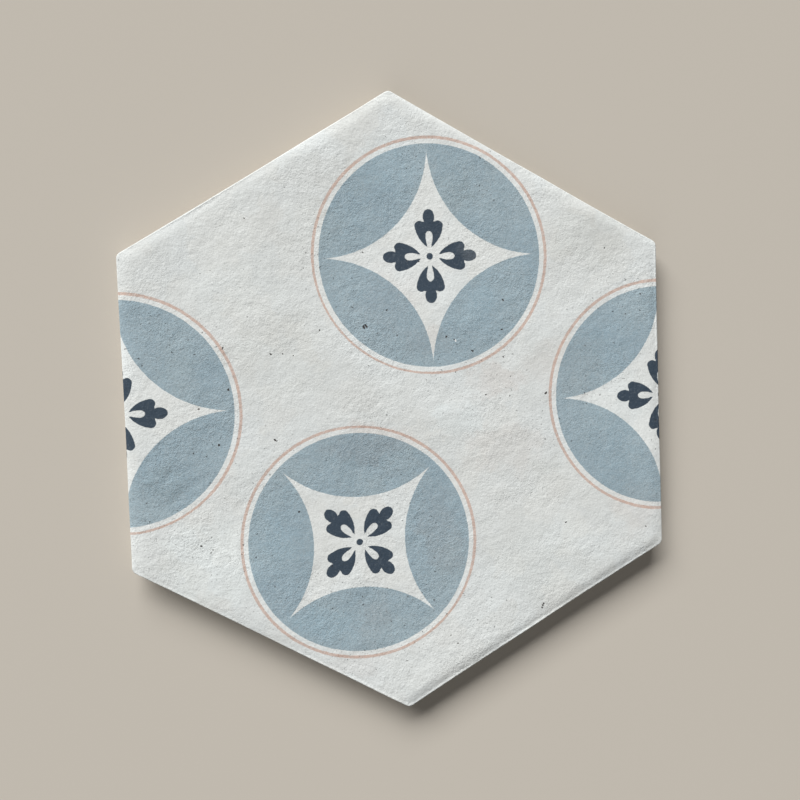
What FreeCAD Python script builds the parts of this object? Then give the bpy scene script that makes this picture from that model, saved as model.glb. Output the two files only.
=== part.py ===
import FreeCAD, Part
import math
import os

# Hexagon floor tile, dry pressed and fired as one piece.
# Origin at the centre of the bedding plane, +Z up through the wearing face,
# +Y from corner to corner and +X from flat to flat. Sizes are in millimetres.

# Outline
WIDTH_ACROSS_FLATS = 220.0
THICKNESS = 9.0
CORNER_RADIUS = 3.0

# Set-back foot, upright joint face and the rounded arris above it
FOOT_HEIGHT = 2.6
FOOT_SETBACK = 0.8
ARRIS_RADIUS = 0.6

# Cushioned top edge, from the flat wearing face outwards: a slack crown arc,
# a tighter shoulder arc, then a narrow flat land that ends at the arris
CROWN_RUN = 2.1
CROWN_RADIUS = 80.0
SHOULDER_RUN = 3.9
SHOULDER_RADIUS = 19.0
LAND_WIDTH = 1.15

# Honeycomb of shallow drafted pockets in the back, in rings round a middle one
POCKET_RINGS = 4
POCKET_DEPTH = 0.7
POCKET_DRAFT_DEG = 20.0
POCKET_CORNER_RADIUS = 2.0
RIB_WIDTH = 4.0
RIM_WIDTH = 7.0

# Derived sizes
COS30 = math.cos(math.radians(30.0))
TAN30 = math.tan(math.radians(30.0))
APOTHEM = WIDTH_ACROSS_FLATS / 2.0
CUSHION_RUN = CROWN_RUN + SHOULDER_RUN
CROWN_ANGLE = math.asin(CROWN_RUN / CROWN_RADIUS)
SHOULDER_ANGLE = math.asin(math.sin(CROWN_ANGLE) + SHOULDER_RUN / SHOULDER_RADIUS)
CROWN_DROP = CROWN_RADIUS * (1.0 - math.cos(CROWN_ANGLE))
SHOULDER_DROP = SHOULDER_RADIUS * (math.cos(CROWN_ANGLE) - math.cos(SHOULDER_ANGLE))
LAND_HEIGHT = THICKNESS - CROWN_DROP - SHOULDER_DROP
RIM_APOTHEM = APOTHEM - FOOT_SETBACK - RIM_WIDTH
POCKET_PITCH = (RIM_APOTHEM + RIB_WIDTH * TAN30) / (POCKET_RINGS * COS30 + TAN30)
POCKET_APOTHEM = (POCKET_PITCH - RIB_WIDTH) / 2.0
POCKET_DRAFT_INSET = POCKET_DEPTH * math.tan(math.radians(POCKET_DRAFT_DEG))

UP = FreeCAD.Vector(0.0, 0.0, 1.0)


def vector(x, y, z=0.0):
    return FreeCAD.Vector(x, y, z)


def polar(distance, degrees, z=0.0):
    turn = math.radians(degrees)
    return vector(distance * math.cos(turn), distance * math.sin(turn), z)


def section(run, height):
    """A point of an edge section: run is measured outwards and height upwards."""
    return vector(run, 0.0, height)


def on_arc(centre, radius, degrees):
    """Point of a section's arc, its angle measured up from the outward direction."""
    turn = math.radians(degrees)
    return centre + section(radius * math.cos(turn), radius * math.sin(turn))


def arc(centre, radius, start_deg, end_deg):
    points = [on_arc(centre, radius, degrees) for degrees in (start_deg, (start_deg + end_deg) / 2.0, end_deg)]
    return Part.Arc(*points).toShape()


def hexagonal_solid(inner_apothem, edges):
    """Solid whose edge section runs along the six sides of a sharp inner hexagon and turns
    round its corners. The section's edges lead from its foot on that hexagon to its top."""
    foot = edges[0].firstVertex(True).Point
    top = edges[-1].lastVertex(True).Point
    profile = Part.Face(Part.Wire(edges + [Part.makeLine(top, foot)]))
    profile.translate(vector(inner_apothem, 0.0))
    half_side = inner_apothem * TAN30
    strip = profile.copy()
    strip.translate(vector(0.0, -half_side))
    strip = strip.extrude(vector(0.0, 2.0 * half_side))
    corner = profile.copy()
    corner.translate(vector(0.0, half_side))
    corner = corner.revolve(vector(inner_apothem, half_side), UP, 60.0)
    pieces = []
    for side in range(6):
        for piece in (strip, corner):
            turned = piece.copy()
            turned.rotate(vector(0.0, 0.0), UP, 60.0 * side)
            pieces.append(turned)
    corners = [polar(inner_apothem / COS30, 60.0 * side + 30.0, foot.z) for side in range(7)]
    core = Part.Face(Part.makePolygon(corners)).extrude(UP * (top.z - foot.z))
    return core.multiFuse(pieces).removeSplitter()


def slab():
    """Everything up to the land: foot, upright joint face and arris."""
    bottom = section(0.0, 0.0)
    foot_edge = section(CORNER_RADIUS - FOOT_SETBACK, 0.0)
    joint_foot = section(CORNER_RADIUS, FOOT_HEIGHT)
    joint_top = section(CORNER_RADIUS, LAND_HEIGHT - ARRIS_RADIUS)
    land_edge = section(CORNER_RADIUS - ARRIS_RADIUS, LAND_HEIGHT)
    arris_centre = section(CORNER_RADIUS - ARRIS_RADIUS, LAND_HEIGHT - ARRIS_RADIUS)
    return hexagonal_solid(APOTHEM - CORNER_RADIUS, [
        Part.makeLine(bottom, foot_edge),
        Part.makeLine(foot_edge, joint_foot),
        Part.makeLine(joint_foot, joint_top),
        arc(arris_centre, ARRIS_RADIUS, 0.0, 90.0),
        Part.makeLine(land_edge, section(0.0, LAND_HEIGHT)),
    ])


def cushion():
    """The raised wearing face with its soft edge, sunk into the slab so that both fuse."""
    seat = LAND_HEIGHT / 2.0
    seat_edge = section(CUSHION_RUN, seat)
    shoulder_foot = section(CUSHION_RUN, LAND_HEIGHT)
    crown_centre = section(0.0, THICKNESS - CROWN_RADIUS)
    crown_foot_deg = 90.0 - math.degrees(CROWN_ANGLE)
    shoulder_foot_deg = 90.0 - math.degrees(SHOULDER_ANGLE)
    shoulder_centre = on_arc(crown_centre, CROWN_RADIUS - SHOULDER_RADIUS, crown_foot_deg)
    return hexagonal_solid(APOTHEM - LAND_WIDTH - CUSHION_RUN, [
        Part.makeLine(section(0.0, seat), seat_edge),
        Part.makeLine(seat_edge, shoulder_foot),
        arc(shoulder_centre, SHOULDER_RADIUS, shoulder_foot_deg, crown_foot_deg),
        arc(crown_centre, CROWN_RADIUS, crown_foot_deg, 90.0),
    ])


def pocket():
    """One drafted pocket with round corners, at the middle of the back."""
    mouth_edge = section(POCKET_CORNER_RADIUS, 0.0)
    floor_edge = section(POCKET_CORNER_RADIUS - POCKET_DRAFT_INSET, POCKET_DEPTH)
    shape = hexagonal_solid(POCKET_APOTHEM - POCKET_CORNER_RADIUS, [
        Part.makeLine(section(0.0, 0.0), mouth_edge),
        Part.makeLine(mouth_edge, floor_edge),
        Part.makeLine(floor_edge, section(0.0, POCKET_DEPTH)),
    ])
    shape.rotate(vector(0.0, 0.0), UP, 30.0)
    return shape


def honeycomb():
    """Pockets in whole rings, so that the outermost ones end at the rim.
    The pocket in each corner of the tile is left out, which backs the corners solid."""
    single = pocket()
    across = polar(POCKET_PITCH, 30.0)
    along = polar(POCKET_PITCH, 90.0)
    steps = range(-POCKET_RINGS, POCKET_RINGS + 1)
    pockets = []
    for i in steps:
        for j in steps:
            inside = abs(i + j) <= POCKET_RINGS
            at_corner = sorted([abs(i), abs(j), abs(i + j)]) == [0, POCKET_RINGS, POCKET_RINGS]
            if inside and not at_corner:
                placed = single.copy()
                placed.translate(across * i + along * j)
                pockets.append(placed)
    return Part.makeCompound(pockets)


def hexagon_tile():
    body = slab().fuse(cushion()).removeSplitter()
    return body.cut(honeycomb()).Solids[0]


os.makedirs("parts", exist_ok=True)
tile = hexagon_tile()
tile.exportStep("parts/hexagon_tile.step")
print("hexagon_tile valid:", tile.isValid(), "volume in cm3:", round(tile.Volume / 1000.0, 2))
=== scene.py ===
import math

import bmesh
import bpy
import numpy as np
from bpy.props import FloatProperty, FloatVectorProperty, IntProperty, PointerProperty
from mathutils import Matrix, Vector
from mathutils.geometry import delaunay_2d_cdt


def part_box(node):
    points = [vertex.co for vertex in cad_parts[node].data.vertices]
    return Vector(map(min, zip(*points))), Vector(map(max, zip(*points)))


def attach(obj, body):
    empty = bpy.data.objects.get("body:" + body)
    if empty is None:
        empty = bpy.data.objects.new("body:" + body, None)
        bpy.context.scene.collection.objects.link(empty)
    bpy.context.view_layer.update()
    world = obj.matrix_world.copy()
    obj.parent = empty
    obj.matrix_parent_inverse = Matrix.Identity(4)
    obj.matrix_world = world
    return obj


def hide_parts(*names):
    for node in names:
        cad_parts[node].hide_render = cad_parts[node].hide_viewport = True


bl_info = {
    "name": "Hexagon floor tile",
    "version": (1, 0, 0),
    "blender": (4, 5, 0),
    "location": "3D View > Sidebar > Tile",
    "description": "Presses, prints and lights a hexagonal ceramic floor tile",
    "category": "Object",
}

NODE = "hexagon_tile"
BODY = "root"

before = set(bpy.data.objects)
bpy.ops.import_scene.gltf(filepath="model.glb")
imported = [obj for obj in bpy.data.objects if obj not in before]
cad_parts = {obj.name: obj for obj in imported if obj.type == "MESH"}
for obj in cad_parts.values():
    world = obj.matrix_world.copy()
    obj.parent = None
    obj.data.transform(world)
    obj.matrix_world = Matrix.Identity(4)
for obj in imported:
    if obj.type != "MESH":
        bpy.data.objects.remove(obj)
LOWEST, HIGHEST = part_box(NODE)

MM = 0.001
SIDES = 6
COS30 = math.cos(math.radians(30.0))
TAN30 = math.tan(math.radians(30.0))

# How near points are that become one, how far an edge turns that stays sharp, and how much surfaces shine.
MERGE_DISTANCE = 0.003 * MM
SHARP_ANGLE = math.radians(40.0)
SPECULAR_LEVEL = 0.15

# Rows of faces along the arcs of the edge section, and how far above the foot the face's mesh ends.
CROWN_STEPS = 5
SHOULDER_STEPS = 4
ARRIS_STEPS = 6
PARTING_HEIGHT = 0.5 * MM

# The fired tile isn't quite regular. For each side, from the right one round, in millimetres: how far out
# it lies, and how much higher its shoulder and its land stand.
SIDE_SHIFTS = (0.05, 0.2, -0.05, 0.1, -0.05, -0.24)
SHOULDER_LIFTS = (0.11, -0.06, 0.0, 0.15, 0.3, -0.21)
LAND_LIFTS = (-0.12, -0.27, 0.0, 0.05, 0.26, 0.24)

# Waves along a side: radians from its middle to its end, radians from one side to the next, and share.
SIDE_WAVES = ((5.1, 1.7, 1.0), (9.7, 2.9, 0.6))

# Share of the tile's width inside which the firing moves nothing.
STILL_SHARE = 0.9

# How softly one side's lifts pass into the next one's at a corner, and the height at which lifts begin and
# over which they grow to their full size.
CORNER_BLEND = 1.5 * MM
LIFT_START = 5.0 * MM
LIFT_GROWTH = 3.0 * MM


def length(name, description, millimetres):
    """A property for a real size, stored in metres."""
    return FloatProperty(
        name=name, description=description, default=millimetres * MM, unit="LENGTH", precision=5,
    )


def number(name, description, default):
    """A property without a unit."""
    return FloatProperty(name=name, description=description, default=default, precision=4)


def count(name, description, default):
    """A property for a number of rows, rings or columns."""
    return IntProperty(name=name, description=description, default=default, min=1)


def angle(name, description, degrees):
    """A property for an angle, stored in radians."""
    return FloatProperty(name=name, description=description, default=math.radians(degrees), unit="ROTATION")


def place(name, description, *millimetres):
    """A property for a point on the face, or in space."""
    return FloatVectorProperty(
        name=name, description=description, size=len(millimetres), unit="LENGTH",
        default=[value * MM for value in millimetres],
    )


def linear(level):
    """Linear light of one sRGB level from 0 to 255."""
    share = level / 255.0
    return share / 12.92 if share <= 0.04045 else ((share + 0.055) / 1.055) ** 2.4


def colour(name, description, red, green, blue):
    """A property for a colour, given as sRGB levels and stored as linear light."""
    return FloatVectorProperty(
        name=name, description=description, size=3, subtype="COLOR", min=0.0, max=1.0,
        default=[linear(level) for level in (red, green, blue)],
    )


class TileShape(bpy.types.PropertyGroup):
    """The pressed form: outline, edge section and how finely it is meshed."""

    width: length("Width", "Across flats, from the frame", (HIGHEST.x - LOWEST.x) / MM)
    thickness: length("Thickness", "Height of the wearing face, from the frame", (HIGHEST.z - LOWEST.z) / MM)
    corner_radius: length("Corner radius", "Radius of the outline's six corners", 3.0)
    foot_height: length("Foot height", "Height at which the set-back foot meets the joint face", 2.6)
    foot_setback: length("Foot set-back", "How far the foot's lower edge lies inside the joint face", 0.8)
    sole_radius: length("Sole radius", "Rounding between the foot and the sole", 0.35)
    arris_radius: length("Arris radius", "Rounding between the joint face and the land", 0.6)
    crown_run: length("Crown run", "Width of the slack outer part of the wearing face", 2.1)
    crown_radius: length("Crown radius", "Radius of that part's section", 80.0)
    shoulder_run: length("Shoulder run", "Width of the steeper shoulder", 3.9)
    shoulder_radius: length("Shoulder radius", "Radius of the shoulder's section", 19.0)
    land_width: length("Land width", "Narrow strip outside the shoulder", 1.15)
    land_fall: length("Land fall", "How far the land slopes down to the arris", 0.04)
    side_bow: length("Side bow", "How far each side is drawn in at its middle by the firing", 0.2)
    side_waviness: length("Side waviness", "Height of the uneven waves along a side", 0.05)
    side_shifts: place("Side shifts", "How far out each side lies, from the right one round", *SIDE_SHIFTS)
    shoulder_lifts: place("Shoulder lifts", "How much higher each side's shoulder stands", *SHOULDER_LIFTS)
    land_lifts: place("Land lifts", "How much higher each side's land stands", *LAND_LIFTS)
    face_rings: count("Face rings", "Rings of triangles in the wearing face", 110)
    corner_steps: count("Corner steps", "Columns of faces round one corner", 8)


class BackPattern(bpy.types.PropertyGroup):
    """The honeycomb pressed into the back."""

    rings: count("Rings", "Rings of pockets round the middle one", 4)
    depth: length("Depth", "Depth of a pocket", 0.7)
    draft: angle("Draft", "Slope of a pocket's wall from upright", 20.0)
    corner_radius: length("Corner radius", "Radius of a pocket's six corners at its mouth", 2.0)
    rib_width: length("Rib width", "Width of the rib between two pockets", 4.0)
    rim_width: length("Rim width", "Solid band between the outermost pockets and the foot", 7.0)
    lip_radius: length("Lip radius", "Rounding round a pocket's mouth", 0.25)
    fillet_radius: length("Fillet radius", "Rounding between a pocket's wall and floor", 0.3)
    grain_height: length("Grain height", "Size of the fired body's fine grain", 0.12)
    grit_height: length("Grit height", "Size of the scattered coarser grains", 0.03)
    corner_steps: count("Corner steps", "Columns of faces round a pocket's corner", 4)


class FaceRelief(bpy.types.PropertyGroup):
    """Unevenness of the wearing face, which looks like hand-trowelled cement."""

    swell_height: length("Swell height", "Size of the broad, soft swells", 0.65)
    swell_size: length("Swell size", "Width of the broadest swells", 60.0)
    swell_roughness: number("Swell roughness", "Share of each finer octave of the swells", 0.56)
    grain_height: length("Grain height", "Size of the fine grain", 0.087)
    grain_size: length("Grain size", "Width of the coarsest grain", 4.0)
    grain_roughness: number("Grain roughness", "Share of each finer octave of the grain", 0.74)
    grit_height: length("Grit height", "Size of the finest grit in the glaze", 0.056)
    ink_grain: number("Ink grain", "How much higher the grain stands in the blue ink", 0.15)
    ink_grit: number("Ink grit", "How much higher the grit stands in the blue ink", 1.3)
    pit_depth: length("Pit depth", "Depth of the dark pinholes", 0.12)
    seed: number("Seed", "Fourth coordinate of the noise", 3.7)


class PrintLayout(bpy.types.PropertyGroup):
    """Places and sizes of the printed motifs, in the plane of the face."""

    top_centre: place("Top motif", "Centre of the upper whole motif", 14.63, 59.73)
    low_centre: place("Low motif", "Centre of the lower whole motif", -18.31, -56.08)
    left_centre: place("Left motif", "Centre of the motif cut off by the left side", -111.88, 0.06)
    right_centre: place("Right motif", "Centre of the motif cut off by the right side", 110.74, -0.23)
    low_turn: angle("Low turn", "Turn of the lower motif, half a right angle", 45.0)
    top_rim: place("Top rim", "How far the upper disc's rim and ring are out of line", 0.12, 0.18)
    low_rim: place("Low rim", "How far the lower disc's rim and ring are out of line", 0.02, -0.2)
    side_size: number("Side size", "Size of the motifs cut off by the sides against the whole ones", 1.006)
    disc_radius: length("Disc radius", "Radius of the blue disc", 45.18)
    ring_radius: length("Ring radius", "Radius of the middle of the thin ring", 47.68)
    ring_width: length("Ring width", "Width of the thin ring", 1.22)
    star_radius: length("Star radius", "Radius of the four arcs that leave the star free", 45.08)
    tip_spread: length("Tip spread", "How far the blue ink spreads into the star's tips", 0.12)
    tip_start: length("Tip start", "How far inside the star's radius the ink begins to spread", 6.0)
    tip_end: length("Tip end", "How far inside the star's radius it has spread fully", 2.0)
    edge_softness: length("Edge softness", "Half the width over which ink fades out", 0.14)
    edge_wander: length("Edge wander", "How far an ink edge wanders", 0.12)


class FlowerShape(bpy.types.PropertyGroup):
    """One of the four petals, along its own middle line from the motif's centre outwards."""

    dot_radius: length("Dot radius", "Radius of the dot in the centre", 1.36)
    leaf_centre: place("Leaf centre", "Centre of the arc that bounds the petal's side", 13.65, -6.52)
    leaf_radius: length("Leaf radius", "Radius of that arc", 12.36)
    leaf_end: length("Leaf end", "Distance at which the side arc gives way to the side lobe", 12.42)
    lobe_centre: place("Lobe centre", "Centre of the side lobe", 12.42, 3.81)
    lobe_radius: length("Lobe radius", "Radius of the side lobe", 2.0)
    neck_overlap: length("Neck overlap", "How far inside the leaf's end the neck begins", 1.5)
    neck_end: length("Neck end", "Distance at which the lobes end beside the head", 14.08)
    neck_width: length("Neck width", "Half width of the petal between its lobes", 2.7)
    head_centre: length("Head centre", "Distance of the round head's centre", 15.92)
    head_length: length("Head length", "Half length of the head", 3.2)
    head_width: length("Head width", "Half width of the head", 2.37)
    slot_centre: length("Slot centre", "Distance of the widest place of the white slot", 8.2)
    slot_width: length("Slot width", "Half width of the slot there", 1.44)
    slot_outer: length("Slot outer", "Length of the slot outside that place", 2.0)
    slot_inner: length("Slot inner", "Length of the slot inside that place", 4.3)
    slot_stem: length("Slot stem", "Half width of the slot towards the centre", 0.88)


class GlazeGrain(bpy.types.PropertyGroup):
    """Fine unevenness in the colours. A scale is the number of noise cells in a millimetre."""

    fray_scale: number("Fray scale", "Scale of the frays along the ink's edges", 0.9)
    drift_scale: number("Drift scale", "Scale of the noise that the blotches' outlines follow", 0.1)
    drift_reach: length("Drift reach", "Twice the most that it moves them", 34.0)
    cloud_scale: number("Cloud scale", "Scale of the duller clouds", 0.03)
    patch_size: length("Patch size", "Width of the patches that differ slightly in tone", 13.0)
    patch_contrast: number("Patch contrast", "How much lighter the palest patch is than the darkest", 0.038)
    patch_warmth: number("Patch warmth", "How much redder the warmest patch is than the coolest", 0.016)
    grain_scale: number("Grain scale", "Scale of the grain", 1.3)
    grain_contrast: number("Grain contrast", "How much brighter the palest grain is than the darkest", 0.15)
    grit_scale: number("Grit scale", "Scale of the finest grit", 2.5)
    grit_contrast: number("Grit contrast", "The same contrast for the grit in the glaze", 0.2)
    ink_contrast: number("Ink contrast", "What the blue ink adds to that contrast", 0.25)
    # The ink's paleness on high grain is partly wear and partly painted shade, darker in the hollows.
    ink_wear_and_shade: number("Ink wear", "How much paler the blue ink is for a millimetre that it stands high", 0.3)


class Finish(bpy.types.PropertyGroup):
    """Colours of the glaze, the inks and the fired body, and how matt they are."""

    ground: colour("Ground", "Off-white glaze of the face", 213, 216, 214)
    ground_shade: colour("Ground shade", "Duller clouds in the glaze", 208, 210, 207)
    blue: colour("Blue", "Grey-blue ink of the discs", 141.5, 160, 169)
    blue_shade: colour("Blue shade", "Thinner blue ink", 150.5, 167, 174)
    navy: colour("Navy", "Slate ink of the flowers", 57, 69, 81)
    pink: colour("Pink", "Dusty pink ink of the rings", 195, 172, 160)
    speck: colour("Speck", "Iron specks and pinholes", 58, 52, 50)
    disc_gain: number("Disc gain", "How much paler the glaze is inside a ring than outside it", 1.049)
    chip: colour("Chip", "Glaze laid bare where the ink has flaked off", 234, 235, 233)
    body: colour("Body", "Bare fired body", 196, 189, 176)
    body_shade: colour("Body shade", "Darker grains of the fired body", 176, 167, 152)
    wash: colour("Wash", "Powdery kiln wash on the ribs of the back", 216, 214, 207)
    face_roughness: number("Face roughness", "Roughness of the matt glaze", 0.75)
    body_roughness: number("Body roughness", "Roughness of the bare body", 0.85)
    roughness_range: number("Roughness range", "How much the glaze's roughness varies", 0.12)
    speck_cover: number("Speck cover", "How fully a speck hides the glaze", 0.95)
    # Painted light on the edge: the rim highlight makes the glaze paler along the rim, and the steep shade
    # makes it duller where the surface slopes steeply.
    rim_highlight: number("Rim gain", "How much paler the glaze is along the rim", 0.05)
    steep_shade: number("Thin shade", "Brightness of the glaze where it is thin on the joint face", 0.76)
    overspill: length("Overspill", "How far the glaze runs down over the joint face", 1.6)
    border_wander: length("Border wander", "How far the glaze's lower border strays up and down", 1.6)


class StageLook(bpy.types.PropertyGroup):
    """Floor, light and camera."""

    floor: colour("Floor", "Plain pale floor", 192, 185, 174)
    backdrop: colour("Backdrop", "Background above the floor", 192, 185, 174)
    floor_radius: length("Floor radius", "Radius of the round floor", 3000.0)
    key_azimuth: angle("Key azimuth", "Direction that the key light comes from, from +X towards +Y", 111.0)
    key_elevation: angle("Key elevation", "Height of the key light", 29.0)
    key_distance: length("Key distance", "Distance of the key light, a large window-like panel", 40000.0)
    key_width: angle("Key width", "Apparent width of the key light", 52.0)
    key_height: angle("Key height", "Apparent height of the key light", 23.0)
    key_share: number("Key share", "Share of the key in the light on the face", 0.993)
    sky_share: number("Sky share", "Share of the even light from all round", 0.03)
    fill_share: number("Fill share", "Share of the soft fill light", 0.15)
    fill_azimuth: angle("Fill azimuth", "Direction that the fill light comes from", 243.0)
    fill_elevation: angle("Fill elevation", "Height of the fill light", 32.0)
    fill_distance: length("Fill distance", "Distance of the fill light", 6000.0)
    fill_size: length("Fill size", "Side of the square fill light", 4360.0)
    camera_place: place("Camera place", "Where the camera stands", -15.14, 9.8, 254.33)
    camera_forward: FloatVectorProperty(
        name="Camera forward", description="Direction that the camera looks in",
        default=(0.062962, -0.033274, -0.997461), size=3,
    )
    camera_right: FloatVectorProperty(
        name="Camera right", description="Direction of the picture's right side",
        default=(0.997277, -0.036361, 0.064164), size=3,
    )
    camera_lens: number("Camera lens", "Focal length in millimetres on a sensor 36 mm wide", 27.045)


SETTINGS = {
    "tile_shape": TileShape,
    "tile_back": BackPattern,
    "tile_relief": FaceRelief,
    "tile_print": PrintLayout,
    "tile_flower": FlowerShape,
    "tile_grain": GlazeGrain,
    "tile_finish": Finish,
    "tile_stage": StageLook,
}


class Wire:
    """An output socket that Python's operators work on. Each operator adds the node that it stands for."""

    def __init__(self, tree, socket):
        self.tree = tree
        self.socket = socket

    def is_vector(self):
        return self.socket.type in {"VECTOR", "RGBA"}

    def calculate(self, operation, *values):
        """A Vector Math node where a value is a vector, and else a Math node."""
        wide = any(
            isinstance(value, tuple) or isinstance(value, Wire) and value.is_vector() for value in values
        )
        stem = "Vector" if wide else "Value"
        names = (stem, stem + "_001", stem + "_002")
        kind = "ShaderNodeVectorMath" if wide else "ShaderNodeMath"
        return self.tree.node(kind, {"operation": operation}, dict(zip(names, values)))

    def __add__(self, other):
        return self.calculate("ADD", self, other)

    def __radd__(self, other):
        return self.calculate("ADD", other, self)

    def __sub__(self, other):
        return self.calculate("SUBTRACT", self, other)

    def __rsub__(self, other):
        return self.calculate("SUBTRACT", other, self)

    def __mul__(self, other):
        return self.calculate("MULTIPLY", self, other)

    def __rmul__(self, other):
        return self.calculate("MULTIPLY", other, self)

    def __truediv__(self, other):
        return self.calculate("DIVIDE", self, other)

    def __rtruediv__(self, other):
        return self.calculate("DIVIDE", other, self)

    def __neg__(self):
        return self * -1.0

    def __abs__(self):
        return self.calculate("ABSOLUTE", self)

    def least(self, other):
        return self.calculate("MINIMUM", self, other)

    def most(self, other):
        return self.calculate("MAXIMUM", self, other)

    def below(self, other):
        return self.calculate("LESS_THAN", self, other)

    def size(self):
        """Length of a vector."""
        return self.tree.node("ShaderNodeVectorMath", {"operation": "LENGTH"}, {"Vector": self}, "Value")

    def away_from(self, point):
        """Distance of a vector from a point."""
        ends = {"Vector": self, "Vector_001": point}
        return self.tree.node("ShaderNodeVectorMath", {"operation": "DISTANCE"}, ends, "Value")

    def part(self, axis):
        """The X, Y or Z of a vector."""
        return self.tree.node("ShaderNodeSeparateXYZ", {}, {"Vector": self}, axis)

    def spread(self, low, high, to_low=0.0, to_high=1.0, smooth=True):
        """The value moved from one range to another, with soft ends unless told otherwise."""
        return self.tree.node(
            "ShaderNodeMapRange", {"interpolation_type": "SMOOTHSTEP" if smooth else "LINEAR"},
            {"Value": self, "From Min": low, "From Max": high, "To Min": to_low, "To Max": to_high},
        )

    def pick(self, first, second):
        """first where this mask is 0 and second where it is 1: numbers, vectors or colours."""
        kinds = {value.socket.type for value in (first, second) if isinstance(value, Wire)}
        widths = {len(value) for value in (first, second) if isinstance(value, tuple)}
        if "RGBA" in kinds or 4 in widths:
            kind, end = "RGBA", "Color"
        elif "VECTOR" in kinds or 3 in widths:
            kind, end = "VECTOR", "Vector"
        else:
            kind, end = "FLOAT", "Float"
        return self.tree.node(
            "ShaderNodeMix", {"data_type": kind},
            {"Factor_Float": self, "A_" + end: first, "B_" + end: second}, "Result_" + end,
        )


class Tree:
    """A node tree that is filled from code."""

    def __init__(self, tree):
        self.tree = tree
        self.tree.nodes.clear()

    def node(self, kind, settings=None, sockets=None, output=0):
        """Adds a node with these settings and these socket values or links, and returns one output."""
        made = self.tree.nodes.new(kind)
        for name, value in (settings or {}).items():
            setattr(made, name, value)
        for name, value in (sockets or {}).items():
            socket = next(s for s in made.inputs if name in (s.identifier, s.name))
            if isinstance(value, Wire):
                self.tree.links.new(value.socket, socket)
            else:
                socket.default_value = value
        if not made.outputs:
            return made
        if isinstance(output, str):
            output = next(i for i, s in enumerate(made.outputs) if output in (s.identifier, s.name))
        return Wire(self, made.outputs[output])

    def noise(self, where, scale, detail, roughness, seed, output="Fac", about_zero=False):
        """Fractal noise about 0.5, or about 0, in four dimensions, the fourth of which is the seed."""
        return self.node(
            "ShaderNodeTexNoise", {"noise_dimensions": "4D", "normalize": not about_zero},
            {"Vector": where, "W": seed, "Scale": scale, "Detail": detail, "Roughness": roughness}, output,
        )


def rgba(values):
    """A colour property as a node socket takes it."""
    return (*values, 1.0)


def placed(name, data):
    """A new object in the scene from a mesh, a lamp or a camera."""
    made = bpy.data.objects.new(name, data)
    bpy.context.scene.collection.objects.link(made)
    return made


def side_directions(side):
    """Outward and forward directions of one of the six sides, the first of which faces +X."""
    turn = math.radians(60.0 * side)
    return np.array((math.cos(turn), math.sin(turn))), np.array((-math.sin(turn), math.cos(turn)))


def outline(inner_apothem, run, along, around):
    """Points round a sharp hexagon that is grown by run, which rounds its corners."""
    half = inner_apothem * TAN30
    points = []
    for side in range(SIDES):
        out, forward = side_directions(side)
        for step in range(along + 1):
            points.append(out * (inner_apothem + run) + forward * half * (2.0 * step / along - 1.0))
        corner = out * inner_apothem + forward * half
        for step in range(1, around):
            turn = math.radians(60.0 * (side + step / around))
            points.append(corner + run * np.array((math.cos(turn), math.sin(turn))))
    return np.array(points)


def fired(points, shape):
    """The points drawn in as the sides of a tile are when it shrinks unevenly in the kiln."""
    apothem = shape.width / 2.0
    moved = points.copy()
    for side in range(SIDES):
        out, forward = side_directions(side)
        reach = points @ out
        along = points @ forward / (apothem * TAN30)
        weight = np.clip((reach / apothem - STILL_SHARE) / (1.0 - STILL_SHARE), 0.0, 1.0)
        waves = sum(share * np.sin(rate * along + lag * side) for rate, lag, share in SIDE_WAVES)
        bow = np.clip(1.0 - along ** 2, 0.0, 1.0) * (shape.side_waviness * waves - shape.side_bow)
        moved += (weight * (bow + shape.side_shifts[side]))[:, None] * out
    return moved


def ring_faces(first, second):
    """Quads between two closed rows of vertices. They face outwards when the second row lies outside."""
    size = len(first)
    neighbours = [(i, (i + 1) % size) for i in range(size)]
    return [(first[i], second[i], second[j], first[j]) for i, j in neighbours]


def newest_rows(total, size):
    """Numbers of the vertices of the newest row and of the one that comes next."""
    return range(total - size, total), range(total, total + size)


def cushion_rows(shape):
    """Rows of the cushioned edge, from the flat face to the shoulder's foot. Each row has an inner apothem,
    a run, a height and the share of the face's relief that reaches it."""
    inner = shape.width / 2.0 - shape.land_width - shape.shoulder_run - shape.crown_run
    crown_angle = math.asin(shape.crown_run / shape.crown_radius)
    shoulder_angle = math.asin(math.sin(crown_angle) + shape.shoulder_run / shape.shoulder_radius)
    crown_drop = shape.crown_radius * (1.0 - math.cos(crown_angle))
    rows = [(inner, 0.0, shape.thickness, 1.0)]
    for step in range(1, CROWN_STEPS + 1):
        turn = crown_angle * step / CROWN_STEPS
        height = shape.thickness - shape.crown_radius * (1.0 - math.cos(turn))
        rows.append((inner, shape.crown_radius * math.sin(turn), height, 1.0))
    for step in range(1, SHOULDER_STEPS + 1):
        turn = crown_angle + (shoulder_angle - crown_angle) * step / SHOULDER_STEPS
        run = shape.crown_run + shape.shoulder_radius * (math.sin(turn) - math.sin(crown_angle))
        fall = crown_drop + shape.shoulder_radius * (math.cos(crown_angle) - math.cos(turn))
        rows.append((inner, run, shape.thickness - fall, 1.0 - 0.1 * step))
    return rows


def land_rows(shape, shoulder_foot):
    """Rows of the land and of the arris, which ends at the upright joint face."""
    cushion, cushion_run, land, _ = shoulder_foot
    slab = shape.width / 2.0 - shape.corner_radius
    land_run = shape.corner_radius - shape.arris_radius
    rows = []
    for share in (0.3, 0.65, 1.0):
        inner = cushion + (slab - cushion) * share
        run = cushion_run + (land_run - cushion_run) * share
        rows.append((inner, run, land - shape.land_fall * share, 0.6 - 0.3 * share))
    for step in range(1, ARRIS_STEPS + 1):
        turn = math.radians(90.0 * step / ARRIS_STEPS)
        run = land_run + shape.arris_radius * math.sin(turn)
        height = land - shape.land_fall - shape.arris_radius * (1.0 - math.cos(turn))
        rows.append((slab, run, height, 0.3 * (1.0 - step / ARRIS_STEPS)))
    return rows


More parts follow.
